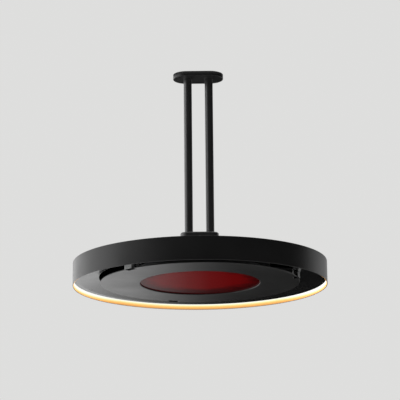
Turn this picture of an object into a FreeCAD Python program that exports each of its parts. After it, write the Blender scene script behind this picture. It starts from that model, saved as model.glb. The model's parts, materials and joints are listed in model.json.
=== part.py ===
import FreeCAD, Part
import math
import os

V = FreeCAD.Vector

# Hanging patio heater. Origin: centre of the ceiling face. X runs along the
# pair of tubes, Z is up, and everything hangs below zero. Millimetres.

# Suspension
overall_drop = 802.0            # ceiling face to the drum's bottom edge
tube_diameter = 30.0
tube_wall = 2.0
tube_spacing = 78.0             # between the tube centres
tube_set_screw_radius = 2.0
set_screw_sink = 0.4            # set screws lie this far below the surface

# Ceiling bracket
bracket_plate = 5.0
bracket_margin = 6.5            # canopy's inner wall to the bracket's edge
bolt_inset_x = 23.0             # bolt hole to the bracket's end
bolt_inset_y = 23.0             # bolt hole to the bracket's side
bolt_hole_radius = 4.5
spigot_length = 35.0
spigot_clearance = 0.1
cable_bore_radius = 9.0
lock_tab_width = 16.0
lock_tab_sheet = 3.0
lock_tab_gap = 1.5              # tab to the canopy's floor
lock_inset = 14.5               # locking screw to the end of the canopy's straight side

# Ceiling canopy
canopy_length = 186.0
canopy_width = 102.0
canopy_height = 18.0
canopy_sheet = 1.5
canopy_edge_radius = 2.0
weld_nut_size = 5.6
weld_nut_depth = 4.5
grub_screw_radius = 1.5

# Sliding bushes round the tubes
bush_wall = 2.6
bush_lip = 2.0
bush_lip_height = 1.8
slide_clearance = 0.35

# Hub over the drum
hub_height = 115.0              # above the drum's top
hub_end_room = 16.0             # tube to the hub's outer face, along X
hub_side_room = 13.0            # tube to the hub's outer face, along Y
hub_sheet = 2.0
hub_edge_radius = 5.0
gasket_sheet = 1.5
block_height = 40.0
block_wall = 5.0
socket_depth = 30.0
socket_clearance = 0.1
block_bolt_radius = 3.0
block_bolt_spread_x = 26.0
block_bolt_inset = 7.0          # bolt to the block's side
block_bolt_head_radius = 5.0
block_bolt_head_height = 6.0
block_counterbore = 8.0
block_set_screw_radius = 3.0
wire_way_radius = 8.5
gland_bore_radius = 4.0
gland_flats = 18.0
gland_flange = 5.0
gland_dome = 8.0
gland_dome_inset = 2.0          # hexagon's flat to the dome
gland_body_depth = 15.0
terminal_length = 40.0
terminal_height = 20.0
terminal_ways = 5
terminal_way_radius = 2.2
cable_slot_length = 30.0
cable_slot_width = 12.0

# Drum
drum_radius = 460.0
drum_height = 83.0
drum_sheet = 2.0
drum_flange = 18.0              # inward flange under the drum's top
drum_edge_radius = 1.2
top_clearance = 0.2             # between the drum's top and its wall
top_screw_count = 12
top_screw_radius = 2.0
top_screw_head_radius = 3.8
top_screw_head_height = 2.2
top_screw_length = 6.0

# Carrier spider and ring hangers
arm_count = 6
arm_turn = 30.0                 # arms stand between the panel's lugs
spider_sheet = 3.0
spider_hub_radius = 110.0
arm_width = 40.0
arm_end_gap = 4.0               # arm end to the wall's inward flange
arm_rib_height = 10.0
arm_rib_gap = 15.0              # heat shield's edge to the arm's rib
hanger_sheet = 2.0
hanger_width = 26.0
hanger_reach = 26.0
hanger_end_gap = 2.0            # hanger to the arm's outer end
hanger_pin_spread = 14.0
rivet_radius = 2.0
rivet_head_radius = 3.6
rivet_head_height = 1.4

# Ring plate, dished upwards to its hole, and its studs
ring_recess = 20.0              # drum's bottom edge to the ring plate's rim
ring_rise = 12.0                # ring plate's hole above its rim
ring_rim_gap = 2.0              # light carrier's leg to the start of the rise
ring_sheet = 2.0
panel_gap = 5.0                 # ring plate's hole beyond the panel
seat_gap = 0.5                  # a foot above the highest part of the ring plate below it
collar_radius = 4.5             # stud's collar, a level seat for a foot
stud_radius = 2.0
stud_spare = 1.5                # stud standing above its nut
nut_flats = 7.0
nut_height = 3.2
hole_clearance = 0.2

# Edge-lit light ring
guide_sheet = 1.5
guide_edge_gap = 0.5            # guide to the ring plate's edge
guide_wall_gap = 0.2            # guide to the drum's wall
guide_lift = 1.0                # guide's lower edge above the drum's edge
guide_lip_width = 12.0
guide_lip_height = 2.0
chip_count = 120
chip_length = 3.5
chip_width = 2.8
chip_height = 0.9
strip_width = 8.0
strip_sheet = 0.5
light_carrier_sheet = 2.0
light_carrier_room = 4.0        # light guide's lip to the carrier's leg

# Light driver and control module
driver_turn = 60.0              # from the first lug
driver_length = 120.0
driver_height = 26.0
control_turn = 180.0            # from the first lug
control_length = 90.0
control_height = 24.0
module_depth = 38.0
module_foot = 12.0
module_foot_sheet = 2.0
module_edge_radius = 4.0

# Heater panel with its bent-up lugs, and the hooks that carry them
rim_width = 100.0               # panel's edge to the drum's outer face
panel_sheet = 3.0
panel_recess = 11.0             # drum's bottom edge to the panel
panel_band = 143.0              # panel's edge to the window
lug_count = 3
first_lug_angle = 106.5
lug_width = 30.0
lug_height = 26.0               # panel's top to the lug's flange
lug_reach = 16.0
notch_depth = 18.0
notch_relief = 2.0              # cut beside the lug
notch_spare = 8.0               # wider cut on the release side
hook_sheet = 2.0
hook_rest_gap = 0.3             # lug's flange above the hook
hook_front_gap = 4.0            # hook's tip to the lug
hook_back_gap = 2.0             # panel's edge to the hook's leg
hook_leg_width = 34.0
hook_leg_lift = 0.5             # hook's leg above the panel's underside
hook_foot = 30.0
hook_width = 26.0
hook_stop_height = 5.0
hook_stop_gap = 0.5
hook_pin_spread = 14.0

# Window and heater cassette
glass_overlap = 12.0
glass_sheet = 4.0
glass_clearance = 0.3
glass_side_gap = 1.5
window_gasket_sheet = 1.0
frame_width = 19.0
dish_sheet = 1.2
dish_inset = 5.0                # glass edge to the dish's wall
lid_side_gap = 1.5
insulation_gap = 0.5
cassette_stud_count = 8
cassette_stud_radius = 2.5
cassette_nut_flats = 8.0
cassette_nut_height = 4.0
shield_sheet = 1.0
shield_overhang = 5.5           # beyond the cassette's flange
shield_hole_radius = 75.0
shield_spacer = 3.0
shield_spacer_radius = 5.0
shield_pin_inset = 35.0         # screw to the shield's edge
shield_screw_radius = 2.0
shield_screw_head_radius = 3.5
shield_screw_head_height = 2.0
shield_air = 12.5               # heat shield to the cassette's lid

# Heating element: a flat spiral of half turns
element_radius = 4.25
element_pitch = 18.0
element_wall_room = 16.5        # last turn to the dish's wall
element_start_radius = 45.0
element_rise = 10.0             # glass to the tube's centre
element_bend_radius = 12.0
element_leg_rise = 6.5          # leg above the cassette's lid
element_samples = 24            # points per half turn for the gap test
bush_bore_gap = 0.3
ceramic_wall = 3.0
ceramic_flange = 3.5
ceramic_flange_height = 3.0
ceramic_hole_gap = 0.3
support_count = 3
support_first_angle = 60.0
support_sheet = 1.5
support_hole_gap = 0.4
support_edge = 3.0
dish_room = 1.5                 # element's bend to the dish's ceiling
cutout_radius = 12.0
cutout_height = 5.0
cutout_base_length = 44.0
cutout_base_width = 16.0
cutout_base_sheet = 1.2
cutout_inset = 90.0             # cut-out to the lid's wall
cutout_angle = 150.0

# Levels
tube_radius = tube_diameter / 2
tube_bore = tube_radius - tube_wall
tube_centres = (-tube_spacing / 2, tube_spacing / 2)
panel_radius = drum_radius - rim_width
window_radius = panel_radius - panel_band
drum_bottom = -overall_drop
drum_top_level = drum_bottom + drum_height
arm_top = drum_top_level - drum_sheet
arm_low = arm_top - spider_sheet
ring_low = drum_bottom + ring_recess
ring_top = ring_low + ring_sheet
panel_low = drum_bottom + panel_recess
panel_top = panel_low + panel_sheet
gasket_top = drum_top_level + gasket_sheet
block_top = gasket_top + block_height
tube_foot = block_top - socket_depth
hub_top = drum_top_level + hub_height
shield_top = arm_low - shield_spacer
shield_low = shield_top - shield_sheet
lid_top = shield_low - shield_air
lid_low = lid_top - dish_sheet
glass_low = panel_top + window_gasket_sheet
glass_top = glass_low + glass_sheet
frame_top = glass_top + glass_clearance
dish_flange_top = frame_top + dish_sheet
lid_flange_top = dish_flange_top + dish_sheet
element_level = glass_top + element_rise
dish_ceiling = element_level + element_bend_radius + dish_room
dish_top = dish_ceiling + dish_sheet
hook_top = panel_top + lug_height - hook_rest_gap

# Radii worked out from the sizes above
wall_inner = drum_radius - drum_sheet
guide_outer = wall_inner - guide_wall_gap
guide_inner = guide_outer - guide_sheet
ring_outer = guide_inner - guide_edge_gap
ring_hole = panel_radius + panel_gap
arm_end = wall_inner - drum_flange - arm_end_gap
hanger_outer = arm_end - hanger_end_gap
hanger_inner = hanger_outer - hanger_reach
hanger_pin_radius = (hanger_inner + hanger_sheet + hanger_outer) / 2
lug_face = panel_radius - notch_depth
hook_back = panel_radius + hook_back_gap
hook_pin_radius = hook_back + (hook_sheet + hook_foot) / 2
glass_radius = window_radius + glass_overlap
frame_inner = glass_radius + glass_side_gap
frame_outer = frame_inner + frame_width
dish_inner = glass_radius - dish_inset
dish_outer = dish_inner + dish_sheet
lid_inner = dish_outer + lid_side_gap
cassette_stud_circle = (frame_inner + frame_outer) / 2
hub_length = tube_spacing + tube_diameter + 2 * hub_end_room
hub_width = tube_diameter + 2 * hub_side_room
block_length = tube_spacing + tube_diameter + 2 * block_wall
block_width = tube_diameter + 2 * block_wall
block_bolt_spread_y = block_width - 2 * block_bolt_inset
bracket_length = canopy_length - 2 * (canopy_sheet + bracket_margin)
bracket_width = canopy_width - 2 * (canopy_sheet + bracket_margin)
lock_tab_spread = canopy_length - canopy_width - 2 * lock_inset
bolt_spacing_x = bracket_length - 2 * bolt_inset_x
bolt_spacing_y = bracket_width - 2 * bolt_inset_y
bush_hole = tube_radius + slide_clearance + bush_wall
lip_inner = guide_outer - guide_lip_width
light_leg_outer = lip_inner - light_carrier_room
light_leg_inner = light_leg_outer - light_carrier_sheet
ring_flat = light_leg_inner - ring_rim_gap
module_radius = (ring_hole + light_leg_inner) / 2
shield_radius = frame_outer + shield_overhang
shield_pin_radius = shield_radius - shield_pin_inset
arm_rib_start = shield_radius + arm_rib_gap
cutout_place_radius = lid_inner - cutout_inset
half_pitch = element_pitch / 2
element_half_turns = int((dish_inner - element_wall_room - element_start_radius) / half_pitch)

# Angles from +X, counter-clockwise from above
lug_angles = [first_lug_angle + k * 360 / lug_count for k in range(lug_count)]
first_arm_angle = first_lug_angle + arm_turn
arm_angles = [first_arm_angle + k * 360 / arm_count for k in range(arm_count)]
driver_angle = first_lug_angle + driver_turn
control_angle = first_lug_angle + control_turn


def box(x_low, x_high, y_low, y_high, z_low, z_high):
    return Part.makeBox(x_high - x_low, y_high - y_low, z_high - z_low, V(x_low, y_low, z_low))


def rod(radius, z_low, z_high, x=0.0, y=0.0):
    return Part.makeCylinder(radius, z_high - z_low, V(x, y, z_low))


def ring(inner, outer, z_low, z_high, x=0.0, y=0.0):
    return rod(outer, z_low, z_high, x, y).cut(rod(inner, z_low, z_high, x, y))


def cross_rod(radius, x, y_low, y_high, z):
    return Part.makeCylinder(radius, y_high - y_low, V(x, y_low, z), V(0, 1, 0))


def stadium(length, width, z_low, z_high):
    end = width / 2
    half = length / 2 - end
    sides = [
        Part.LineSegment(V(-half, -end, z_low), V(half, -end, z_low)),
        Part.Arc(V(half, -end, z_low), V(half + end, 0, z_low), V(half, end, z_low)),
        Part.LineSegment(V(half, end, z_low), V(-half, end, z_low)),
        Part.Arc(V(-half, end, z_low), V(-half - end, 0, z_low), V(-half, -end, z_low)),
    ]
    face = Part.Face(Part.Wire([side.toShape() for side in sides]))
    return face.extrude(V(0, 0, z_high - z_low))


def hexagon(flats, z_low, z_high, x=0.0, y=0.0):
    corner = flats / math.sqrt(3)
    turns = [math.radians(60 * k) for k in range(7)]
    points = [V(x + corner * math.cos(a), y + corner * math.sin(a), z_low) for a in turns]
    return Part.Face(Part.makePolygon(points)).extrude(V(0, 0, z_high - z_low))


def nut(flats, bore, z_low, z_high, x=0.0, y=0.0):
    return hexagon(flats, z_low, z_high, x, y).cut(rod(bore, z_low, z_high, x, y))


def turned(shape, angle):
    copy = shape.copy()
    copy.rotate(V(0, 0, 0), V(0, 0, 1), angle)
    return copy


def lathed(points):
    outline = [V(radius, 0, z) for radius, z in points + points[:1]]
    return Part.Face(Part.makePolygon(outline)).revolve(V(0, 0, 0), V(0, 0, 1), 360)


def spread(shape, angles):
    return [turned(shape, angle) for angle in angles]


def even_angles(count, first=0.0):
    return [first + k * 360 / count for k in range(count)]


def joined(shapes):
    return shapes[0].multiFuse(shapes[1:]).removeSplitter()


def without(shape, cutters):
    return shape.cut(Part.makeCompound(cutters))


def edges_at_level(shape, level):
    found = []
    for edge in shape.Edges:
        limits = edge.BoundBox
        if abs(limits.ZMin - level) < 1e-6 and abs(limits.ZMax - level) < 1e-6:
            found.append(edge)
    return found


def write(name, shapes):
    shape = shapes[0] if len(shapes) == 1 else Part.makeCompound(shapes)
    shape.exportStep(os.path.join("parts", name + ".step"))
    print(name, len(shape.Solids), "solids", round(shape.Volume / 1000, 1), "cm3", shape.isValid())


# Ceiling bracket: a plate with four bolt holes and a spigot for each tube
set_screw_level = -(bracket_plate + canopy_height - canopy_sheet) / 2
lock_tab_low = canopy_sheet - canopy_height + lock_tab_gap


def ceiling_bracket():
    plate = stadium(bracket_length, bracket_width, -bracket_plate, 0)
    pieces = [plate]
    for x in tube_centres:
        spigot_low = -bracket_plate - spigot_length
        pieces.append(rod(tube_bore - spigot_clearance, spigot_low, -bracket_plate, x))
    for x in (-lock_tab_spread / 2, lock_tab_spread / 2):
        tab_back = bracket_width / 2
        pieces.append(box(x - lock_tab_width / 2, x + lock_tab_width / 2,
                          tab_back - lock_tab_sheet, tab_back, lock_tab_low, -bracket_plate))
    cutters = [rod(cable_bore_radius, -bracket_plate - spigot_length, 0, tube_centres[0])]
    for x in (-bolt_spacing_x / 2, bolt_spacing_x / 2):
        for y in (-bolt_spacing_y / 2, bolt_spacing_y / 2):
            cutters.append(rod(bolt_hole_radius, -bracket_plate, 0, x, y))
    for x in tube_centres:
        hole = tube_set_screw_radius + hole_clearance
        cutters.append(cross_rod(hole, x, cable_bore_radius, tube_radius, set_screw_level))
        cutters.append(cross_rod(hole, x, -tube_radius, -cable_bore_radius, set_screw_level))
    return without(joined(pieces), cutters)


# Tubes: bracket to base block, the left one with the supply cable's way out
base_screw_level = block_top - socket_depth / 2
cable_slot_level = (block_top + terminal_height + hub_top) / 2


def tube(x):
    body = ring(tube_bore, tube_radius, tube_foot, -bracket_plate, x)
    upper_hole = tube_set_screw_radius + hole_clearance
    lower_hole = block_set_screw_radius + hole_clearance
    upper = cross_rod(upper_hole, x, -tube_radius, tube_radius, set_screw_level)
    lower = cross_rod(lower_hole, x, -tube_radius, tube_radius, base_screw_level)
    return without(body, [upper, lower])


def cable_slot():
    half_width = cable_slot_width / 2
    low = cable_slot_level - cable_slot_length / 2 + half_width
    high = cable_slot_level + cable_slot_length / 2 - half_width
    x = tube_centres[0]
    ends = [Part.makeCylinder(half_width, tube_radius, V(x, 0, z), V(1, 0, 0)) for z in (low, high)]
    return joined([box(x, x + tube_radius, -half_width, half_width, low, high)] + ends)


def tube_top_screws():
    inner = cable_bore_radius + set_screw_sink
    outer = tube_radius - set_screw_sink
    screws = []
    for x in tube_centres:
        screws.append(cross_rod(tube_set_screw_radius, x, inner, outer, set_screw_level))
        screws.append(cross_rod(tube_set_screw_radius, x, -outer, -inner, set_screw_level))
    return screws


# Ceiling canopy, its bushes and the locking screws at the back
lock_level = (lock_tab_low - bracket_plate) / 2
lock_places = (-lock_tab_spread / 2, lock_tab_spread / 2)
canopy_inner_face = canopy_width / 2 - canopy_sheet


def ceiling_canopy():
    shell = stadium(canopy_length, canopy_width, -canopy_height, 0)
    shell = shell.makeFillet(canopy_edge_radius, edges_at_level(shell, -canopy_height))
    inside = stadium(canopy_length - 2 * canopy_sheet, canopy_width - 2 * canopy_sheet,
                     canopy_sheet - canopy_height, 0)
    cutters = [inside]
    for x in tube_centres:
        cutters.append(rod(bush_hole, -canopy_height, 0, x))
    for x in lock_places:
        hole = grub_screw_radius + hole_clearance
        cutters.append(cross_rod(hole, x, canopy_inner_face, canopy_width / 2, lock_level))
    return without(shell, cutters)


def tube_bush(x, sheet_low, sheet_high, lip_side):
    bore = tube_radius + slide_clearance
    lip_low = sheet_high if lip_side > 0 else sheet_low - bush_lip_height
    body = ring(bore, bush_hole, sheet_low, sheet_high, x)
    return joined([body, ring(bore, bush_hole + bush_lip, lip_low, lip_low + bush_lip_height, x)])


def canopy_weld_nuts():
    half = weld_nut_size / 2
    nuts = []
    for x in lock_places:
        block = box(x - half, x + half, canopy_inner_face - weld_nut_depth, canopy_inner_face,
                    lock_level - half, lock_level + half)
        thread = cross_rod(grub_screw_radius + hole_clearance, x, canopy_inner_face - weld_nut_depth,
                           canopy_inner_face, lock_level)
        nuts.append(block.cut(thread))
    return nuts


def canopy_grub_screws():
    tip = bracket_width / 2 + slide_clearance
    end = canopy_width / 2 - set_screw_sink
    return [cross_rod(grub_screw_radius, x, tip, end, lock_level) for x in lock_places]


# Hub: base block, gasket, bolts, gland, terminals and the sliding sleeve
bolt_places = [(x, y) for x in (-block_bolt_spread_x / 2, block_bolt_spread_x / 2)
               for y in (-block_bolt_spread_y / 2, block_bolt_spread_y / 2)]


def bolt_holes(z_low, z_high):
    return [rod(block_bolt_radius + hole_clearance, z_low, z_high, x, y) for x, y in bolt_places]


def tube_base_block():
    body = stadium(block_length, block_width, gasket_top, block_top)
    cutters = bolt_holes(gasket_top, block_top)
    cutters.append(rod(wire_way_radius, gasket_top, block_top))
    for x, y in bolt_places:
        seat = block_bolt_head_radius + hole_clearance
        cutters.append(rod(seat, block_top - block_counterbore, block_top, x, y))
    for x in tube_centres:
        cutters.append(rod(tube_radius + socket_clearance, tube_foot, block_top, x))
        hole = block_set_screw_radius + hole_clearance
        cutters.append(cross_rod(hole, x, -block_width / 2, block_width / 2, base_screw_level))
    return without(body, cutters)


def tube_base_screws():
    outer = block_width / 2 - set_screw_sink
    inner = tube_bore + set_screw_sink
    screws = []
    for x in tube_centres:
        screws.append(cross_rod(block_set_screw_radius, x, inner, outer, base_screw_level))
        screws.append(cross_rod(block_set_screw_radius, x, -outer, -inner, base_screw_level))
    return screws


def base_gasket():
    body = stadium(hub_length, hub_width, drum_top_level, gasket_top)
    cutters = bolt_holes(drum_top_level, gasket_top)
    cutters.append(rod(wire_way_radius, drum_top_level, gasket_top))
    return without(body, cutters)


def base_bolts():
    seat = block_top - block_counterbore
    foot = arm_low - block_bolt_head_height - stud_spare
    bolts = []
    for x, y in bolt_places:
        head = rod(block_bolt_head_radius, seat, seat + block_bolt_head_height, x, y)
        bolts.append(joined([head, rod(block_bolt_radius, foot, seat, x, y)]))
    return bolts


def base_nuts():
    flats = 2 * block_bolt_head_radius
    low = arm_low - block_bolt_head_height
    bore = block_bolt_radius + hole_clearance
    return [nut(flats, bore, low, arm_low, x, y) for x, y in bolt_places]


def cable_gland():
    low = block_top - gland_body_depth
    seat = block_top + gland_flange
    body = rod(wire_way_radius - hole_clearance, low, block_top)
    collar = hexagon(gland_flats, block_top, seat)
    dome = rod(gland_flats / 2 - gland_dome_inset, seat, seat + gland_dome)
    return joined([body, collar, dome]).cut(rod(gland_bore_radius, low, seat + gland_dome))


def terminal_block():
    front = gland_flats / math.sqrt(3) + slide_clearance
    back = block_width / 2
    body = box(-terminal_length / 2, terminal_length / 2, front, back, block_top, block_top + terminal_height)
    step = terminal_length / terminal_ways
    ways = []
    for k in range(terminal_ways):
        x = -terminal_length / 2 + (k + 0.5) * step
        ways.append(cross_rod(terminal_way_radius, x, front, back, block_top + terminal_height / 2))
    return without(body, ways)


def hub_sleeve():
    shell = stadium(hub_length, hub_width, gasket_top, hub_top)
    shell = shell.makeFillet(hub_edge_radius, edges_at_level(shell, hub_top))
    inside = stadium(hub_length - 2 * hub_sheet, hub_width - 2 * hub_sheet, gasket_top, hub_top - hub_sheet)
    inner_edge = hub_edge_radius - hub_sheet
    if inner_edge > 0:
        inside = inside.makeFillet(inner_edge, edges_at_level(inside, hub_top - hub_sheet))
    holes = [rod(bush_hole, hub_top - hub_sheet, hub_top, x) for x in tube_centres]
    return without(shell, [inside] + holes)


# Drum: a wall with an inward flange, and a flat top that lies on it
top_screw_circle = wall_inner - drum_flange / 2


def drum_wall():
    skin = ring(wall_inner, drum_radius, drum_bottom, drum_top_level)
    skin = skin.makeFillet(drum_edge_radius, outer_rims(skin))
    flange = ring(wall_inner - drum_flange, wall_inner, arm_top - drum_sheet, arm_top)
    holes = spread(rod(top_screw_radius + hole_clearance, arm_top - drum_sheet, arm_top, top_screw_circle),
                   even_angles(top_screw_count))
    return without(joined([skin, flange]), holes)


def outer_rims(skin):
    levels = (drum_bottom, drum_top_level)
    rims = [edge for level in levels for edge in edges_at_level(skin, level)]
    return [edge for edge in rims if abs(edge.BoundBox.XMax - drum_radius) < 1e-6]


def drum_top():
    plate = rod(wall_inner - top_clearance, arm_top, drum_top_level)
    cutters = bolt_holes(arm_top, drum_top_level)
    cutters.append(rod(wire_way_radius, arm_top, drum_top_level))
    cutters += spread(rod(top_screw_radius + hole_clearance, arm_top, drum_top_level, top_screw_circle),
                      even_angles(top_screw_count))
    return without(plate, cutters)


def top_screws():
    head_top = drum_top_level + top_screw_head_height
    tip = drum_top_level - top_screw_length
    head = rod(top_screw_head_radius, drum_top_level, head_top, top_screw_circle)
    shank = rod(top_screw_radius, tip, drum_top_level, top_screw_circle)
    return spread(joined([head, shank]), even_angles(top_screw_count))


# Seats on the dished ring plate
def ring_level(radius):
    return ring_top + ring_rise * (ring_flat - radius) / (ring_flat - ring_hole)


hanger_seat = ring_level(hanger_inner) + seat_gap
hook_seat = ring_level(ring_hole) + seat_gap
module_seat = ring_level(module_radius - module_depth / 2) + seat_gap


# Carrier spider: a laser-cut plate with ribbed arms under the drum's top
def carrier_spider():
    half = arm_width / 2
    arm = box(0, arm_end, -half, half, arm_low, arm_top)
    rib = box(arm_rib_start, arm_end, half - spider_sheet, half, arm_low - arm_rib_height, arm_low)
    other_rib = rib.mirror(V(0, 0, 0), V(0, 1, 0))
    arm = joined([arm, rib, other_rib])
    plate = joined([rod(spider_hub_radius, arm_low, arm_top)] + spread(arm, arm_angles))
    cutters = bolt_holes(arm_low, arm_top)
    cutters.append(rod(wire_way_radius, arm_low, arm_top))
    for y in (-hanger_pin_spread / 2, hanger_pin_spread / 2):
        hole = rod(rivet_radius + hole_clearance, arm_low, arm_top, hanger_pin_radius, y)
        cutters += spread(hole, arm_angles)
    shield_hole = rod(shield_screw_radius + hole_clearance, arm_low, arm_top, shield_pin_radius)
    cutters += spread(shield_hole, arm_angles)
    return without(plate, cutters)


def ring_hangers():
    half = hanger_width / 2
    foot_top = hanger_seat + hanger_sheet
    web = box(hanger_inner, hanger_inner + hanger_sheet, -half, half, hanger_seat, arm_low)
    foot = box(hanger_inner, hanger_outer, -half, half, hanger_seat, foot_top)
    head = box(hanger_inner, hanger_outer, -half, half, arm_low - hanger_sheet, arm_low)
    stud_hole = stud_radius + hole_clearance
    rivet_hole = rivet_radius + hole_clearance
    holes = []
    for y in (-hanger_pin_spread / 2, hanger_pin_spread / 2):
        holes.append(rod(stud_hole, hanger_seat, foot_top, hanger_pin_radius, y))
        holes.append(rod(rivet_hole, arm_low - hanger_sheet, arm_low, hanger_pin_radius, y))
    return spread(without(joined([web, foot, head]), holes), arm_angles)


def hanger_rivets():
    seat = arm_low - hanger_sheet
    rivets = []
    for y in (-hanger_pin_spread / 2, hanger_pin_spread / 2):
        head = rod(rivet_head_radius, seat - rivet_head_height, seat, hanger_pin_radius, y)
        shank = rod(rivet_radius, seat, arm_top, hanger_pin_radius, y)
        rivets += spread(joined([head, shank]), arm_angles)
    return rivets


# Ring plate with collared weld studs on its hidden side
module_pin_half = {"driver": (driver_length + module_foot) / 2,
                   "control": (control_length + module_foot) / 2}
stud_places = [(hanger_pin_radius, y, angle, hanger_seat, hanger_sheet) for angle in arm_angles
               for y in (-hanger_pin_spread / 2, hanger_pin_spread / 2)]
stud_places += [(hook_pin_radius, y, angle, hook_seat, hook_sheet) for angle in lug_angles
                for y in (-hook_pin_spread / 2, hook_pin_spread / 2)]
stud_places += [(module_radius, side * module_pin_half[name], angle, module_seat, module_foot_sheet)
                for name, angle in (("driver", driver_angle), ("control", control_angle)) for side in (-1, 1)]
ring_upper_face = [(ring_outer, ring_top), (ring_flat, ring_top), (ring_hole, ring_top + ring_rise)]


def ring_plate():
    lower_face = [(ring_hole, ring_low + ring_rise), (ring_flat, ring_low), (ring_outer, ring_low)]
    return lathed(lower_face + ring_upper_face)


def ring_studs():
    under = lathed([(ring_hole, ring_low), (ring_outer, ring_low)] + ring_upper_face)
    studs = []
    for radius, y, angle, seat, sheet in stud_places:
        pin = rod(stud_radius, ring_top, seat + sheet + nut_height + stud_spare, radius, y)
        collar = rod(collar_radius, ring_top, seat, radius, y)
        studs.append(turned(joined([pin, collar]).cut(under), angle))
    return studs


def ring_nuts():
    bore = stud_radius + hole_clearance
    nuts = []
    for radius, y, angle, seat, sheet in stud_places:
        low = seat + sheet
        nuts.append(turned(nut(nut_flats, bore, low, low + nut_height, radius, y), angle))
    return nuts


# Light ring: a clear band that hangs by its lip, lit through the lip
lip_top = ring_top + guide_lip_height
chip_top = lip_top + chip_height
strip_top = chip_top + strip_sheet
chip_radius = (lip_inner + guide_outer) / 2


def light_guide_ring():
    band = ring(guide_inner, guide_outer, drum_bottom + guide_lift, lip_top)
    return joined([band, ring(lip_inner, guide_outer, ring_top, lip_top)])


def led_chips():
    chip = box(chip_radius - chip_width / 2, chip_radius + chip_width / 2,
               -chip_length / 2, chip_length / 2, lip_top, chip_top)
    return spread(chip, even_angles(chip_count))


def led_strip():
    return ring(chip_radius - strip_width / 2, chip_radius + strip_width / 2, chip_top, strip_top)


def led_carrier_ring():
    leg = ring(light_leg_inner, light_leg_outer, ring_top, strip_top)
    cover = ring(light_leg_inner, guide_outer, strip_top, strip_top + light_carrier_sheet)
    return joined([leg, cover])


def module(length, height, name, angle):
    half_depth = module_depth / 2
    body = box(module_radius - half_depth, module_radius + half_depth,
               -length / 2, length / 2, module_seat, module_seat + height)
    upright = [edge for edge in body.Edges if edge.BoundBox.ZLength > height / 2]
    body = body.makeFillet(module_edge_radius, upright)
    reach = length / 2 + module_foot
    foot = box(module_radius - module_foot / 2, module_radius + module_foot / 2,
               -reach, reach, module_seat, module_seat + module_foot_sheet)
    holes = [rod(stud_radius + hole_clearance, module_seat, module_seat + module_foot_sheet,
                 module_radius, side * module_pin_half[name]) for side in (-1, 1)]
    return turned(without(joined([body, foot]), holes), angle)


# Hooks on the ring plate: the panel's lugs hang over them, a turn frees them, and their legs
# keep the panel in the middle
def panel_hooks():
    half = hook_width / 2
    leg_half = hook_leg_width / 2
    stop_outer = -(lug_width / 2 + hook_stop_gap + hook_sheet)
    tip = lug_face + hook_front_gap
    back = hook_back + hook_sheet
    foot_top = hook_seat + hook_sheet
    foot = box(hook_back, back + hook_foot, -half, half, hook_seat, foot_top)
    leg = box(hook_back, back, -leg_half, leg_half, panel_low + hook_leg_lift, hook_top)
    ledge_low = hook_top - hook_sheet
    stop_top = hook_top + hook_stop_height
    ledge = box(tip, back, stop_outer, half, ledge_low, hook_top)
    stop = box(tip, back, stop_outer, stop_outer + hook_sheet, ledge_low, stop_top)
    holes = [rod(stud_radius + hole_clearance, hook_seat, foot_top, hook_pin_radius, y)
             for y in (-hook_pin_spread / 2, hook_pin_spread / 2)]
    return spread(without(joined([foot, leg, ledge, stop]), holes), lug_angles)


def heater_panel():
    disc = ring(window_radius, panel_radius, panel_low, panel_top)
    half = lug_width / 2
    flange_low = panel_top + lug_height
    flange_top = flange_low + panel_sheet
    lug_back = lug_face - panel_sheet
    notch = box(lug_face, panel_radius + panel_gap, -half - notch_relief, half + notch_spare,
                panel_low, panel_top)
    upright = box(lug_back, lug_face, -half, half, panel_low, flange_top)
    flange = box(lug_back, lug_face + lug_reach, -half, half, flange_low, flange_top)
    lug = joined([upright, flange])
    return joined([without(disc, spread(notch, lug_angles))] + spread(lug, lug_angles))


# Window: glass on a gasket, framed by a spacer ring
cassette_angles = even_angles(cassette_stud_count, first_lug_angle)


def stud_holes(z_low, z_high):
    hole = rod(cassette_stud_radius + hole_clearance, z_low, z_high, cassette_stud_circle)
    return spread(hole, cassette_angles)


def window_gasket():
    return ring(window_radius + window_gasket_sheet, glass_radius, panel_top, glass_low)


def window_glass():
    return rod(glass_radius, glass_low, glass_top)


def window_frame():
    return without(ring(frame_inner, frame_outer, panel_top, frame_top), stud_holes(panel_top, frame_top))


def cassette_studs():
    top = lid_flange_top + cassette_nut_height + stud_spare
    return spread(rod(cassette_stud_radius, panel_top, top, cassette_stud_circle), cassette_angles)


def cassette_nuts():
    top = lid_flange_top + cassette_nut_height
    bore = cassette_stud_radius + hole_clearance
    piece = nut(cassette_nut_flats, bore, lid_flange_top, top, cassette_stud_circle)
    return spread(piece, cassette_angles)


# Spiral element: half turns about two centres, so each arc meets the next smoothly
leg_top = lid_top + element_leg_rise


def half_turn(k):
    centre = 0.0 if k % 2 == 0 else half_pitch
    return centre, element_start_radius + k * half_pitch


def half_turn_point(k, share):
    centre, radius = half_turn(k)
    angle = math.pi * (share + k % 2)
    return V(centre + radius * math.cos(angle), radius * math.sin(angle), element_level)


element_first = half_turn_point(0, 0)
element_last = half_turn_point(element_half_turns - 1, 1)
end_side = 1 if element_half_turns % 2 == 0 else -1
element_legs = [(element_first.x, -element_bend_radius), (element_last.x, end_side * element_bend_radius)]


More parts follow.
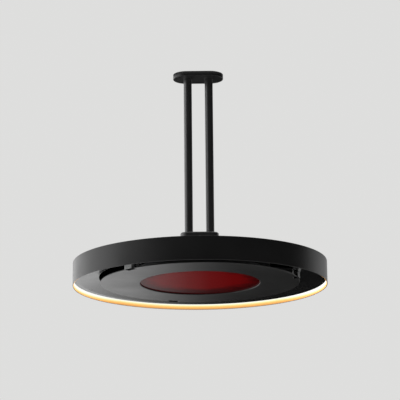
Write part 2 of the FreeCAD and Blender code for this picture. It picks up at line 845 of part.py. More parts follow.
def element_path():
    bend = element_bend_radius
    corner = bend * math.sqrt(0.5)
    edges = []
    rise = V(element_first.x, -bend, element_level + bend)
    middle = V(element_first.x, -corner, element_level + bend - corner)
    edges.append(Part.LineSegment(V(element_first.x, -bend, leg_top), rise).toShape())
    edges.append(Part.Arc(rise, middle, element_first).toShape())
    for k in range(element_half_turns):
        points = [half_turn_point(k, share) for share in (0, 0.5, 1)]
        edges.append(Part.Arc(points[0], points[1], points[2]).toShape())
    middle = V(element_last.x, end_side * corner, element_level + bend - corner)
    rise = V(element_last.x, end_side * bend, element_level + bend)
    edges.append(Part.Arc(element_last, middle, rise).toShape())
    edges.append(Part.LineSegment(rise, V(element_last.x, end_side * bend, leg_top)).toShape())
    return Part.Wire(edges)


def least_turn_gap():
    points = [half_turn_point(k, n / element_samples)
              for k in range(element_half_turns) for n in range(element_samples)]
    least = element_pitch
    for first in range(len(points)):
        for second in range(first + element_samples, len(points)):
            least = min(least, points[first].distanceToPoint(points[second]))
    return least - 2 * element_radius


def heating_element():
    path = element_path()
    start = path.Vertexes[0].Point
    section = Part.Wire([Part.makeCircle(element_radius, start, V(0, 0, 1))])
    shell = Part.BRepOffsetAPI.MakePipeShell(path)
    shell.add(section)
    shell.build()
    shell.makeSolid()
    solid = shell.shape()
    expected = math.pi * element_radius ** 2 * path.Length
    print("element length", round(path.Length), "mm, volume ratio", round(solid.Volume / expected, 4))
    print("element least gap to itself", round(least_turn_gap(), 2), "mm")
    return solid


def leg_holes(radius, z_low, z_high):
    return [rod(radius, z_low, z_high, x, y) for x, y in element_legs]


def crossing_radii(angle):
    way = math.radians(angle % 360)
    found = []
    for k in range(element_half_turns):
        upper = k % 2 == 0
        if upper == (math.sin(way) >= 0):
            centre, radius = half_turn(k)
            found.append(centre * math.cos(way) + math.sqrt(radius ** 2 - (centre * math.sin(way)) ** 2))
    return found


def element_supports():
    combs = []
    low = element_level - element_radius - support_hole_gap - support_edge
    half = support_sheet / 2
    for angle in even_angles(support_count, support_first_angle):
        radii = crossing_radii(angle)
        reach = element_radius + support_hole_gap + support_edge
        comb = box(radii[0] - reach, radii[-1] + reach, -half, half, low, dish_ceiling)
        holes = [cross_rod(element_radius + support_hole_gap, r, -half, half, element_level) for r in radii]
        combs.append(turned(without(comb, holes), angle))
    return combs


# Cassette: reflector dish, insulation, lid and what stands on the lid
ceramic_outer = element_radius + bush_bore_gap + ceramic_wall


def reflector_dish():
    flange = ring(dish_inner, frame_outer, frame_top, dish_flange_top)
    wall = ring(dish_inner, dish_outer, frame_top, dish_top)
    ceiling = rod(dish_outer, dish_ceiling, dish_top)
    cutters = stud_holes(frame_top, dish_flange_top)
    cutters += leg_holes(ceramic_outer + ceramic_hole_gap, dish_ceiling, dish_top)
    return without(joined([flange, wall, ceiling]), cutters)


def insulation_disc():
    disc = rod(lid_inner - insulation_gap, dish_top, lid_low)
    return without(disc, leg_holes(ceramic_outer + ceramic_hole_gap, dish_top, lid_low))


def cassette_lid():
    outer = lid_inner + dish_sheet
    flange = ring(lid_inner, frame_outer, dish_flange_top, lid_flange_top)
    wall = ring(lid_inner, outer, dish_flange_top, lid_top)
    ceiling = rod(outer, lid_low, lid_top)
    cutters = stud_holes(dish_flange_top, lid_flange_top)
    cutters += leg_holes(ceramic_outer + ceramic_hole_gap, lid_low, lid_top)
    return without(joined([flange, wall, ceiling]), cutters)


def element_bushes():
    bushes = []
    for x, y in element_legs:
        bore = element_radius + bush_bore_gap
        sleeve = ring(bore, ceramic_outer, dish_ceiling, lid_top, x, y)
        collar = ring(bore, ceramic_outer + ceramic_flange, lid_top, lid_top + ceramic_flange_height, x, y)
        bushes.append(joined([sleeve, collar]))
    return bushes


def thermal_cutout():
    base = box(cutout_place_radius - cutout_base_length / 2, cutout_place_radius + cutout_base_length / 2,
               -cutout_base_width / 2, cutout_base_width / 2, lid_top, lid_top + cutout_base_sheet)
    top = lid_top + cutout_base_sheet + cutout_height
    can = rod(cutout_radius, lid_top, top, cutout_place_radius)
    return turned(joined([base, can]), cutout_angle)


# Heat shield between the cassette and the spider
def heat_shield():
    sheet = ring(shield_hole_radius, shield_radius, shield_low, shield_top)
    hole = rod(shield_screw_radius + hole_clearance, shield_low, shield_top, shield_pin_radius)
    return without(sheet, spread(hole, arm_angles))


def shield_spacers():
    bore = shield_screw_radius + hole_clearance
    return spread(ring(bore, shield_spacer_radius, shield_top, arm_low, shield_pin_radius), arm_angles)


def shield_screws():
    head = rod(shield_screw_head_radius, shield_low - shield_screw_head_height, shield_low, shield_pin_radius)
    shank = rod(shield_screw_radius, shield_low, arm_top, shield_pin_radius)
    return spread(joined([head, shank]), arm_angles)


os.makedirs("parts", exist_ok=True)
canopy_sheet_low = -canopy_height
canopy_sheet_high = canopy_sheet - canopy_height
write("ceiling_bracket", [ceiling_bracket()])
write("tube_left", [tube(tube_centres[0]).cut(cable_slot())])
write("tube_right", [tube(tube_centres[1])])
write("tube_top_screws", tube_top_screws())
write("ceiling_canopy", [ceiling_canopy()])
write("canopy_bushes", [tube_bush(x, canopy_sheet_low, canopy_sheet_high, 1) for x in tube_centres])
write("canopy_weld_nuts", canopy_weld_nuts())
write("canopy_grub_screws", canopy_grub_screws())
write("tube_base_block", [tube_base_block()])
write("tube_base_screws", tube_base_screws())
write("base_gasket", [base_gasket()])
write("base_bolts", base_bolts())
write("base_nuts", base_nuts())
write("cable_gland", [cable_gland()])
write("terminal_block", [terminal_block()])
write("hub_sleeve", [hub_sleeve()])
write("hub_bushes", [tube_bush(x, hub_top - hub_sheet, hub_top, -1) for x in tube_centres])
write("drum_wall", [drum_wall()])
write("drum_top", [drum_top()])
write("top_screws", top_screws())
write("carrier_spider", [carrier_spider()])
write("ring_hangers", ring_hangers())
write("hanger_rivets", hanger_rivets())
write("ring_plate", [ring_plate()])
write("ring_studs", ring_studs())
write("ring_nuts", ring_nuts())
write("light_guide_ring", [light_guide_ring()])
write("led_chips", led_chips())
write("led_strip", [led_strip()])
write("led_carrier_ring", [led_carrier_ring()])
write("light_driver", [module(driver_length, driver_height, "driver", driver_angle)])
write("control_module", [module(control_length, control_height, "control", control_angle)])
write("panel_hooks", panel_hooks())
write("heater_panel", [heater_panel()])
write("window_gasket", [window_gasket()])
write("window_glass", [window_glass()])
write("window_frame", [window_frame()])
write("cassette_studs", cassette_studs())
write("cassette_nuts", cassette_nuts())
write("reflector_dish", [reflector_dish()])
write("heating_element", [heating_element()])
write("element_supports", element_supports())
write("element_bushes", element_bushes())
write("insulation_disc", [insulation_disc()])
write("cassette_lid", [cassette_lid()])
write("thermal_cutout", [thermal_cutout()])
write("heat_shield", [heat_shield()])
write("shield_spacers", shield_spacers())
write("shield_screws", shield_screws())
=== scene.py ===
import json
import math
import bmesh
import bpy
from mathutils import Matrix, Vector


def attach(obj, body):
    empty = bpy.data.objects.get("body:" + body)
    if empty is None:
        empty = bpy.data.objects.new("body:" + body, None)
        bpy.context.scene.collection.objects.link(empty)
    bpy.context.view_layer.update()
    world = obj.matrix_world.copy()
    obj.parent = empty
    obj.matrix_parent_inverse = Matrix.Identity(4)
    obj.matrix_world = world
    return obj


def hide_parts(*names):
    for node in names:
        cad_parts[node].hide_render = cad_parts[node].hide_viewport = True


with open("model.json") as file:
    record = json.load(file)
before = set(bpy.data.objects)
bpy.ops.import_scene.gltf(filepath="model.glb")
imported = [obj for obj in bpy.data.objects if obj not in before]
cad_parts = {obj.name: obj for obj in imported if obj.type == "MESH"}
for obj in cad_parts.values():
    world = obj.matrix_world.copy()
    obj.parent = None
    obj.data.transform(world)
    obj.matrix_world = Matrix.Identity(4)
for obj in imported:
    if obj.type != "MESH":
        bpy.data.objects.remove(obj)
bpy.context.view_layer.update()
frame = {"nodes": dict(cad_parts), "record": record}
nodes = frame["nodes"]
mm = 0.001
print("frame loaded,", len(nodes), "nodes")


# small helpers for meshes

def addObject(name, mesh):
    piece = bpy.data.objects.new(name, mesh)
    bpy.context.scene.collection.objects.link(piece)
    return piece


def bridge(bm, lower, upper):
    # a band of faces between two closed loops
    count = len(lower)
    for i in range(count):
        j = (i + 1) % count
        bm.faces.new([lower[i], lower[j], upper[j], upper[i]])


def loopEdges(bm, loop):
    return [bm.edges.get((loop[i], loop[(i + 1) % len(loop)])) for i in range(len(loop))]


def finishMesh(name, bm, sharpAngle=35):
    bmesh.ops.remove_doubles(bm, verts=bm.verts, dist=1e-6)
    bmesh.ops.recalc_face_normals(bm, faces=bm.faces)
    for face in bm.faces:
        face.smooth = True
    for edge in bm.edges:
        if len(edge.link_faces) == 2 and edge.calc_face_angle(0) > math.radians(sharpAngle):
            edge.smooth = False
    mesh = bpy.data.meshes.new(name)
    bm.to_mesh(mesh)
    bm.free()
    return addObject(name, mesh)


# how far a rounding may use up a side, and where a long side gets a support point beside it
rounding = {"room": 0.48, "longSide": 4, "support": 1.5}


def roundCorners(points, radii, steps=4):
    # a closed outline with its corners rounded, and a support point beside each arc
    out = []
    count = len(points)
    for i, point in enumerate(points):
        here = Vector(point)
        before = Vector(points[i - 1]) - here
        after = Vector(points[(i + 1) % count]) - here
        radius = radii[i] if isinstance(radii, (list, tuple)) else radii
        if radius <= 0:
            out.append(tuple(here))
            continue
        angle = before.angle(after)
        reach = radius / math.tan(angle / 2)
        room = rounding["room"] * min(before.length, after.length)
        if reach > room:
            radius *= room / reach
            reach = room
        a = before.normalized()
        b = after.normalized()
        centre = here + (a + b).normalized() * (radius / math.sin(angle / 2))
        first = here + a * reach - centre
        last = here + b * reach - centre
        sweep = first.angle_signed(last) if first.length > 0 else 0
        if before.length > rounding["longSide"] * reach:
            out.append(tuple(here + a * reach * rounding["support"]))
        for k in range(steps + 1):
            turn = -sweep * k / steps
            spot = Vector((first.x * math.cos(turn) - first.y * math.sin(turn),
                           first.x * math.sin(turn) + first.y * math.cos(turn)))
            out.append(tuple(centre + spot))
        if after.length > rounding["longSide"] * reach:
            out.append(tuple(here + b * reach * rounding["support"]))
    return out


def latheInto(bm, outline, segments, x=0.0):
    # closed (radius, height) outline in mm, turned about an upright axis
    onAxis = [radius < 1e-6 for radius, height in outline]
    rings = []
    for k in range(segments):
        turn = 2 * math.pi * k / segments
        c, s = math.cos(turn), math.sin(turn)
        rings.append([bm.verts.new(((x + r * c) * mm, r * s * mm, z * mm)) for r, z in outline])
    count = len(outline)
    for k in range(segments):
        here, there = rings[k], rings[(k + 1) % segments]
        for i in range(count):
            j = (i + 1) % count
            if onAxis[i] and onAxis[j]:
                continue
            if onAxis[i]:
                corners = [here[i], there[j], here[j]]
            elif onAxis[j]:
                corners = [here[i], there[i], here[j]]
            else:
                corners = [here[i], there[i], there[j], here[j]]
            bm.faces.new(corners)


def lathePiece(name, outline, segments, x=0.0):
    bm = bmesh.new()
    latheInto(bm, outline, segments, x)
    return finishMesh(name, bm)


def stadiumLoop(length, width, inset, steps):
    end = width / 2 - inset
    half = length / 2 - width / 2
    points = []
    for k in range(steps + 1):
        turn = math.pi * (k / steps - 0.5)
        points.append((half + end * math.cos(turn), end * math.sin(turn)))
    for k in range(steps + 1):
        turn = math.pi * (k / steps + 0.5)
        points.append((-half + end * math.cos(turn), end * math.sin(turn)))
    return points


def stadiumShell(name, length, width, outline, holes, holeRadius, levels, steps=40, holeSides=64):
    # (inset, height) outline swept round a stadium; the two flat levels get round holes
    bm = bmesh.new()
    loops = []
    for inset, z in outline:
        loops.append([bm.verts.new((px * mm, py * mm, z * mm)) for px, py in
                      stadiumLoop(length, width, inset, steps)])
    for lower, upper in zip(loops, loops[1:]):
        bridge(bm, lower, upper)
    bores = {}
    for level, loop in zip(levels, (loops[0], loops[-1])):
        edges = loopEdges(bm, loop)
        for x in holes:
            verts = []
            for k in range(holeSides):
                turn = 2 * math.pi * k / holeSides
                verts.append(bm.verts.new(((x + holeRadius * math.cos(turn)) * mm,
                                           holeRadius * math.sin(turn) * mm, level * mm)))
            edges += [bm.edges.new((verts[k], verts[(k + 1) % holeSides])) for k in range(holeSides)]
            bores.setdefault(x, []).append(verts)
        bmesh.ops.triangle_fill(bm, use_beauty=True, use_dissolve=False, edges=edges)
    for first, second in bores.values():
        bridge(bm, first, second)
    return finishMesh(name, bm)


# small helpers for materials

def newMaterial(name):
    material = bpy.data.materials.new(name)
    material.use_nodes = True
    tree = material.node_tree
    return material, tree, tree.nodes["Principled BSDF"]


def objectPlace(tree):
    return tree.nodes.new("ShaderNodeTexCoord").outputs["Object"]


def axesOf(tree, place):
    node = tree.nodes.new("ShaderNodeSeparateXYZ")
    tree.links.new(place, node.inputs["Vector"])
    return node.outputs


def placeOf(tree, x=None, y=None, z=None):
    node = tree.nodes.new("ShaderNodeCombineXYZ")
    for socket, value in zip(node.inputs, (x, y, z)):
        if value is not None:
            tree.links.new(value, socket)
    return node.outputs["Vector"]


def noiseAt(tree, place, scale, detail, roughness=0.55):
    node = tree.nodes.new("ShaderNodeTexNoise")
    node.inputs["Scale"].default_value = scale
    node.inputs["Detail"].default_value = detail
    node.inputs["Roughness"].default_value = roughness
    tree.links.new(place, node.inputs["Vector"])
    return node.outputs["Fac"]


def rampOf(tree, value, stops):
    node = tree.nodes.new("ShaderNodeValToRGB")
    ramp = node.color_ramp
    while len(ramp.elements) < len(stops):
        ramp.elements.new(0.5)
    for element, (spot, colour) in zip(ramp.elements, stops):
        element.position = spot
        element.color = (*colour, 1)
    tree.links.new(value, node.inputs["Fac"])
    return node.outputs["Color"]


def rangeOf(tree, value, low, high, fromLow=0.0, fromHigh=1.0):
    node = tree.nodes.new("ShaderNodeMapRange")
    node.inputs["From Min"].default_value = fromLow
    node.inputs["From Max"].default_value = fromHigh
    node.inputs["To Min"].default_value = low
    node.inputs["To Max"].default_value = high
    tree.links.new(value, node.inputs["Value"])
    return node.outputs["Result"]


def mathNode(tree, operation, first, second=None, third=None):
    node = tree.nodes.new("ShaderNodeMath")
    node.operation = operation
    for socket, value in zip(node.inputs, (first, second, third)):
        if value is None:
            continue
        if isinstance(value, (int, float)):
            socket.default_value = value
        else:
            tree.links.new(value, socket)
    return node.outputs[0]


def bumpOn(tree, shader, height, strength, distance=0.0002):
    node = tree.nodes.new("ShaderNodeBump")
    node.inputs["Strength"].default_value = strength
    node.inputs["Distance"].default_value = distance
    tree.links.new(height, node.inputs["Height"])
    tree.links.new(node.outputs["Normal"], shader.inputs["Normal"])


def grainedFinish(name, dark, light, roughLow, roughHigh, fine, coarse, bump, specular=0.5):
    # one builder for coats, plastics and sheet: patchy tone, patchy gloss and a fine relief
    material, tree, shader = newMaterial(name)
    place = objectPlace(tree)
    patches = noiseAt(tree, place, coarse, 5.0)
    grain = noiseAt(tree, place, fine, 2.0, 0.6)
    tree.links.new(rampOf(tree, patches, [(0.3, dark), (0.7, light)]), shader.inputs["Base Color"])
    tree.links.new(rangeOf(tree, patches, roughLow, roughHigh, 0.3, 0.7), shader.inputs["Roughness"])
    shader.inputs["Specular IOR Level"].default_value = specular
    bumpOn(tree, shader, grain, bump)
    return material


def turnedMetal(name, dark, light, roughLow, roughHigh, stretch, scale):
    # drawn or rolled metal with fine lines
    material, tree, shader = newMaterial(name)
    mapping = tree.nodes.new("ShaderNodeMapping")
    mapping.inputs["Scale"].default_value = stretch
    tree.links.new(objectPlace(tree), mapping.inputs["Vector"])
    lines = noiseAt(tree, mapping.outputs["Vector"], scale, 6.0, 0.65)
    tree.links.new(rampOf(tree, lines, [(0.3, dark), (0.7, light)]), shader.inputs["Base Color"])
    tree.links.new(rangeOf(tree, lines, roughLow, roughHigh, 0.3, 0.7), shader.inputs["Roughness"])
    shader.inputs["Metallic"].default_value = 1.0
    bumpOn(tree, shader, lines, 0.25)
    return material


# finishes

finishes = {}
finishes["black_coat"] = grainedFinish("satinBlackCoat", (0.0052, 0.0052, 0.0056), (0.0085, 0.0085, 0.009),
                                       0.33, 0.40, 900.0, 7.0, 0.16)
smoothCoat = grainedFinish("smoothBlackCoat", (0.0048, 0.0048, 0.0051), (0.0072, 0.0072, 0.0076),
                           0.23, 0.28, 900.0, 7.0, 0.05, specular=0.38)
# painted shade: a darker, dull coat for the lid's underside inside the drum and for hook faces that look
# inward or down
paintedShadeCoat = grainedFinish("dullInnerCoat", (0.0035, 0.0035, 0.0035), (0.006, 0.006, 0.006),
                          0.8, 0.92, 500.0, 8.0, 0.2, specular=0.0)
tubeCoat = grainedFinish("satinTubeCoat", (0.009, 0.009, 0.0095), (0.014, 0.014, 0.0145),
                         0.30, 0.37, 900.0, 9.0, 0.16, specular=1.0)
finishes["coated_steel"] = grainedFinish("mattBlackCoat", (0.012, 0.012, 0.012), (0.022, 0.022, 0.023),
                                         0.5, 0.62, 700.0, 12.0, 0.25)
finishes["zinc_steel"] = turnedMetal("zincPlate", (0.42, 0.43, 0.45), (0.66, 0.66, 0.64), 0.26, 0.42,
                                     (1.0, 1.0, 1.0), 220.0)
finishes["block_alloy"] = turnedMetal("milledAlloy", (0.55, 0.55, 0.56), (0.7, 0.7, 0.71), 0.3, 0.42,
                                      (1.0, 30.0, 1.0), 40.0)
finishes["seal_rubber"] = grainedFinish("sealRubber", (0.012, 0.012, 0.012), (0.024, 0.024, 0.024),
                                        0.7, 0.85, 1200.0, 20.0, 0.3)
finishes["bush_plastic"] = grainedFinish("bushPlastic", (0.014, 0.014, 0.015), (0.024, 0.024, 0.025),
                                         0.45, 0.58, 1500.0, 25.0, 0.2)
finishes["led_board"] = grainedFinish("stripBoard", (0.74, 0.74, 0.7), (0.84, 0.84, 0.8), 0.35, 0.45,
                                      600.0, 90.0, 0.1)
finishes["reflector"] = turnedMetal("brightSheet", (0.62, 0.6, 0.57), (0.8, 0.78, 0.75), 0.16, 0.3,
                                    (1.0, 24.0, 1.0), 30.0)
finishes["fibre_board"] = grainedFinish("pressedFibre", (0.7, 0.68, 0.62), (0.86, 0.84, 0.79), 0.85, 0.95,
                                        350.0, 30.0, 0.8)
finishes["fired_ceramic"] = grainedFinish("firedCeramic", (0.78, 0.75, 0.68), (0.88, 0.86, 0.8), 0.5, 0.65,
                                          800.0, 60.0, 0.2)
finishes["cutout_can"] = turnedMetal("drawnCan", (0.52, 0.52, 0.54), (0.68, 0.68, 0.69), 0.25, 0.4,
                                     (1.0, 1.0, 20.0), 90.0)


def lightBandFinish(name, low, high):
    # frosted band: whitest at its top, near the chips, and amber at its lower edge; its whitening to the left
    # and right is a painted sheen
    material, tree, shader = newMaterial(name)
    place = objectPlace(tree)
    axes = axesOf(tree, place)
    height = rangeOf(tree, axes["Z"], 0.0, 1.0, low * mm, high * mm)
    cloud = noiseAt(tree, place, 90.0, 2.0)
    side = mathNode(tree, "ABSOLUTE", axes["X"])
    # painted sheen: the band is made whiter towards its left and right ends
    ends = rangeOf(tree, side, 0.0, 0.38, 0.3, 0.455)
    mixed = mathNode(tree, "ADD", mathNode(tree, "ADD", height, ends), rangeOf(tree, cloud, -0.04, 0.04))
    glow = rampOf(tree, mixed, [(0.0, (0.6, 0.31, 0.11)), (0.3, (0.97, 0.46, 0.12)),
                                (0.58, (1.0, 0.72, 0.25)), (0.84, (1.0, 0.97, 0.68)),
                                (1.0, (1.0, 1.0, 0.95))])
    tree.links.new(glow, shader.inputs["Emission Color"])
    tree.links.new(glow, shader.inputs["Base Color"])
    shader.inputs["Emission Strength"].default_value = 1.0
    shader.inputs["Roughness"].default_value = 0.5
    return material


finishes["light_guide"] = lightBandFinish("frostedLightBand", low=-801.0, high=-782.0)


def chipFinish(name):
    material, tree, shader = newMaterial(name)
    cells = noiseAt(tree, objectPlace(tree), 500.0, 2.0)
    glow = rampOf(tree, cells, [(0.3, (1.0, 0.72, 0.3)), (0.7, (1.0, 0.86, 0.5))])
    tree.links.new(glow, shader.inputs["Base Color"])
    tree.links.new(glow, shader.inputs["Emission Color"])
    shader.inputs["Emission Strength"].default_value = 1.5
    shader.inputs["Roughness"].default_value = 0.35
    return material


finishes["led_chip"] = chipFinish("phosphorChip")


def hotSheathFinish(name, hotTop, coldFrom):
    # red-hot tube with darker scale on it; its two legs end cold
    material, tree, shader = newMaterial(name)
    place = objectPlace(tree)
    scale = noiseAt(tree, place, 140.0, 5.0, 0.7)
    heat = rangeOf(tree, axesOf(tree, place)["Z"], 1.6, 0.0, hotTop * mm, coldFrom * mm)
    tree.links.new(heat, shader.inputs["Emission Strength"])
    tree.links.new(rampOf(tree, scale, [(0.35, (0.05, 0.03, 0.03)), (0.7, (0.16, 0.08, 0.06))]),
                   shader.inputs["Base Color"])
    tree.links.new(rampOf(tree, scale, [(0.25, (0.55, 0.02, 0.008)), (0.75, (1.0, 0.075, 0.02))]),
                   shader.inputs["Emission Color"])
    shader.inputs["Roughness"].default_value = 0.55
    shader.inputs["Metallic"].default_value = 0.6
    bumpOn(tree, shader, scale, 0.3, 0.0003)
    return material


finishes["element_sheath"] = hotSheathFinish("hotSheath", hotTop=-768.0, coldFrom=-760.0)


def redPanePaintedGlowFinish(name, radius, shift):
    # deep red glass ceramic, nearly closed: the glass itself carries a painted glow that stands in for the
    # heat behind it, patchy towards its rim, where it falls to painted shade, soonest on the +y side
    material, tree, shader = newMaterial(name)
    place = objectPlace(tree)
    smokeAndShadePatches = noiseAt(tree, place, 22.0, 4.0, 0.6)
    ripple = noiseAt(tree, place, 70.0, 2.0)
    axes = axesOf(tree, place)
    shifted = mathNode(tree, "SUBTRACT", axes["Y"], shift * mm)
    reach = tree.nodes.new("ShaderNodeVectorMath")
    reach.operation = "LENGTH"
    tree.links.new(placeOf(tree, axes["X"], shifted), reach.inputs[0])
    share = rangeOf(tree, reach.outputs["Value"], 0.0, 1.0, 0.0, radius * mm)
    mixed = mathNode(tree, "ADD", share, rangeOf(tree, smokeAndShadePatches, -0.14, 0.14, 0.2, 0.8))
    # painted glow in the middle, falling to painted shade in patches towards the rim
    glow = rampOf(tree, mixed, [(0.0, (0.094, 0.0003, 0.0006)), (0.6, (0.086, 0.0003, 0.0006)),
                                (0.7, (0.066, 0.0002, 0.0005)), (0.78, (0.044, 0.0002, 0.0005)),
                                (0.88, (0.021, 0.0003, 0.0004)), (1.0, (0.015, 0.0003, 0.0004))])
    tree.links.new(glow, shader.inputs["Emission Color"])
    shader.inputs["Emission Strength"].default_value = 1.0
    tree.links.new(rampOf(tree, smokeAndShadePatches, [(0.3, (0.05, 0.002, 0.003)), (0.7, (0.07, 0.003, 0.004))]),
                   shader.inputs["Base Color"])
    tree.links.new(rangeOf(tree, ripple, 0.08, 0.13, 0.3, 0.7), shader.inputs["Roughness"])
    shader.inputs["Transmission Weight"].default_value = 0.25
    shader.inputs["IOR"].default_value = 1.12
    shader.inputs["Specular IOR Level"].default_value = 0.05
    bumpOn(tree, shader, ripple, 0.02)
    return material


# the shift moves the painted glow's centre towards -y, so the painted shade comes first on the +y side
finishes["window_glass"] = redPanePaintedGlowFinish("redGlassCeramic", radius=235.0, shift=-45.0)
print("finishes made:", len(finishes))


def dress(piece, slotName, body, *stoodFor, finish=None):
    piece.data.materials.clear()
    piece.data.materials.append(finish or finishes[slotName])
    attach(piece, body)
    if stoodFor:
        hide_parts(*stoodFor)


def paintShadeOnSides(piece, looksIn):
    # a second, dull coat on the faces that the test picks: painted shade, darker than the coat beside it
    piece.data.materials.append(paintedShadeCoat)
    for face in piece.data.polygons:
        face.material_index = 1 if looksIn(face) else 0


def looksDown(face):
    return face.normal.z < -0.5


def looksInward(face):
    return face.normal.xy.dot(face.center.xy.normalized()) < -0.5


# drum: wall with an inward flange, and the flat top let into it

drum = {"radius": 460.0, "sheet": 2.0, "bottom": -802.0, "top": -719.0, "flange": 18.0, "edge": 1.7,
        "lidGap": 0.2, "cableHole": 8.5, "segments": 288}


def makeDrumWall():
    r, s = drum["radius"], drum["sheet"]
    inner = r - s
    shelf = drum["top"] - s
    outline = [(r, drum["bottom"]), (r, drum["top"]), (inner, drum["top"]), (inner, shelf),
               (inner - drum["flange"], shelf), (inner - drum["flange"], shelf - s), (inner, shelf - s),
               (inner, drum["bottom"])]
    edge = drum["edge"]
    radii = [edge, edge, 0.2, 0, 0.4, 0.4, 0, 0.2]
    return lathePiece("drumWall", roundCorners(outline, radii), drum["segments"])


def makeDrumTop():
    r = drum["radius"] - drum["sheet"] - drum["lidGap"]
    low = drum["top"] - drum["sheet"]
    outline = [(drum["cableHole"], low), (r, low), (r, drum["top"]), (drum["cableHole"], drum["top"])]
    return lathePiece("drumTop", roundCorners(outline, [0, 0.5, 0.8, 0]), drum["segments"])


drumShell = makeDrumWall()
dress(drumShell, "black_coat", "frame", "drum_wall")
drumShell.visible_glossy = False  # the ring plate's shine shows no skirt
drumLid = makeDrumTop()
dress(drumLid, "black_coat", "frame", "drum_top")
# painted shade on the lid's underside, inside the drum
paintShadeOnSides(drumLid, looksDown)
print("drum built")


# two suspension tubes

tubes = {"radius": 15.0, "bore": 13.0, "places": (-39.0, 39.0), "top": -5.0, "foot": -707.5, "segments": 96,
         "screwHoles": ((-10.75, 2.2), (-692.5, 3.2)), "slotLow": -645.75, "slotHigh": -615.75,
         "slotHalf": 6.0, "cutReach": 20.0}


def prismInto(bm, loop, start, way):
    # closed loop of points pushed along a way, as a cutter
    first = [bm.verts.new(Vector(point) * mm + Vector(start) * mm) for point in loop]
    second = [bm.verts.new(Vector(point) * mm + (Vector(start) + Vector(way)) * mm) for point in loop]
    bridge(bm, first, second)
    bm.faces.new(first[::-1])
    bm.faces.new(second)


def roundLoop(radius, rise, axis, steps=16):
    # circle, or a slot with round ends when there is a rise
    loop = []
    for k in range(2 * steps):
        turn = math.pi * (k + 0.5) / steps
        up = radius * math.sin(turn) + (rise / 2 if math.sin(turn) > 0 else -rise / 2)
        spot = [0.0, 0.0, up]
        spot[axis] = radius * math.cos(turn)
        loop.append(spot)
    return loop


def cutFrom(piece, bm):
    # cut a set of prisms out of a piece and keep the plain mesh
    cutter = finishMesh(piece.name + "Cutter", bm)
    modifier = piece.modifiers.new("cut", "BOOLEAN")
    modifier.operation = "DIFFERENCE"
    modifier.solver = "EXACT"
    modifier.object = cutter
    deps = bpy.context.evaluated_depsgraph_get()
    deps.update()
    mesh = bpy.data.meshes.new_from_object(piece.evaluated_get(deps), depsgraph=deps)
    name = piece.name
    bpy.data.objects.remove(cutter)
    bpy.data.objects.remove(piece)
    again = bmesh.new()
    again.from_mesh(mesh)
    bpy.data.meshes.remove(mesh)
    return finishMesh(name, again)


def makeTube(name, x, withSlot):
    t = tubes
    reach = t["cutReach"]
    outline = [(t["bore"], t["foot"]), (t["radius"], t["foot"]), (t["radius"], t["top"]),
               (t["bore"], t["top"])]
    piece = lathePiece(name, roundCorners(outline, 0.4, 2), t["segments"], x)
    bm = bmesh.new()
    for level, radius in t["screwHoles"]:
        prismInto(bm, roundLoop(radius, 0.0, 0), (x, -reach, level), (0.0, 2 * reach, 0.0))
    if withSlot:
        rise = t["slotHigh"] - t["slotLow"] - 2 * t["slotHalf"]
        middle = (t["slotHigh"] + t["slotLow"]) / 2
        prismInto(bm, roundLoop(t["slotHalf"], rise, 1), (x, 0.0, middle), (reach, 0.0, 0.0))
    return cutFrom(piece, bm)


leftTube = makeTube("tubeLeft", tubes["places"][0], True)
dress(leftTube, "black_coat", "frame", "tube_left", finish=tubeCoat)
rightTube = makeTube("tubeRight", tubes["places"][1], False)
dress(rightTube, "black_coat", "frame", "tube_right", finish=tubeCoat)
print("tubes built")


# ceiling canopy and hub sleeve: thin stadium shells that slide on the tubes

canopy = {"length": 186.0, "width": 102.0, "height": 18.0, "sheet": 1.5, "edge": 2.0, "hole": 17.95}
hub = {"length": 140.0, "width": 56.0, "top": -604.0, "foot": -717.5, "sheet": 2.0, "edge": 5.0,
       "hole": 17.95}


def quarter(inset, z, radius, fromTurn, toTurn, steps=6):
    # quarter circle of (inset, height) points
    points = []
    for k in range(steps + 1):
        turn = math.radians(fromTurn + (toTurn - fromTurn) * k / steps)
        points.append((inset - radius * math.cos(turn), z + radius * math.sin(turn)))
    return points


def makeCanopy():
    h, s, e = canopy["height"], canopy["sheet"], canopy["edge"]
    outline = [(e * 1.6, -h)]
    outline += quarter(e, e - h, e, -90, 0)
    outline += [(0.0, e * 1.5 - h), (0.0, -0.6), (0.3, -0.15), (0.75, 0.0), (1.2, -0.15), (s, -0.6),
                (s, s - h)]
    return stadiumShell("ceilingCanopy", canopy["length"], canopy["width"], outline, tubes["places"],
                        canopy["hole"], (-h, s - h))


def makeHub():
    s, e = hub["sheet"], hub["edge"]
    inner = e - s
    outline = [(e * 1.3, hub["top"])]
    outline += quarter(e, hub["top"] - e, e, 90, 0, 8)
    outline += [(0.0, hub["top"] - e * 1.3), (0.0, hub["foot"] + 0.8), (0.3, hub["foot"] + 0.2),
                (1.0, hub["foot"]), (1.7, hub["foot"] + 0.2), (s, hub["foot"] + 0.8)]
    outline += quarter(e, hub["top"] - e, inner, 0, 90, 4)
    return stadiumShell("hubSleeve", hub["length"], hub["width"], outline, tubes["places"], hub["hole"],
                        (hub["top"], hub["top"] - s))


dress(makeCanopy(), "black_coat", "canopy", "ceiling_canopy")
dress(makeHub(), "black_coat", "hub_cover", "hub_sleeve", finish=tubeCoat)
print("canopy and hub built")


# underside: ring plate, light band, heater panel with its notches and lugs, and the hooks

